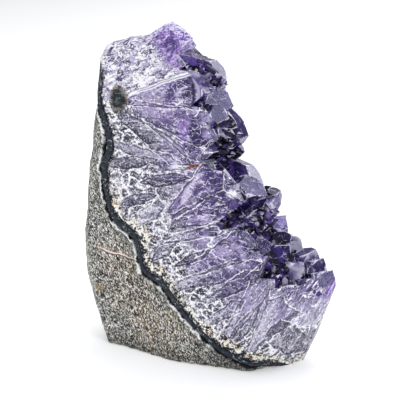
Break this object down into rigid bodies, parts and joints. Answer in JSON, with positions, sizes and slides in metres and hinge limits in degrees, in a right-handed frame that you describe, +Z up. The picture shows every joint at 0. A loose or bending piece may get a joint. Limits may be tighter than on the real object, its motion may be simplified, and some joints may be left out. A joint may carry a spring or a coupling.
{
  "type": "cut base amethyst cluster",
  "caption": "Upright wedge of amethyst geode wall on a sawn flat base: basalt rind, dark celadonite seam and a thick quartz crust ending in purple points.",
  "frame": {"origin": "middle of the bounding box at the sawn base, on the surface it stands on", "axes": "+Z up; +X from the rock rind towards the crystal points; -Y is the outward side of the near sawn face, which shows the layers"},
  "size_m": [0.0964, 0.035, 0.1196],
  "materials": {
    "basalt_rind": "grey-brown sawn basalt, fine grained and matt",
    "celadonite_seam": "blue-black celadonite with pale specks, satin",
    "amethyst_crust": "quartz, white and lilac where sawn, glossy purple at the points"
  },
  "bodies": {
    "root": {"basalt_rind": "basalt_rind", "celadonite_seam": "celadonite_seam", "amethyst_crust": "amethyst_crust"}
  },
  "joints": []
}
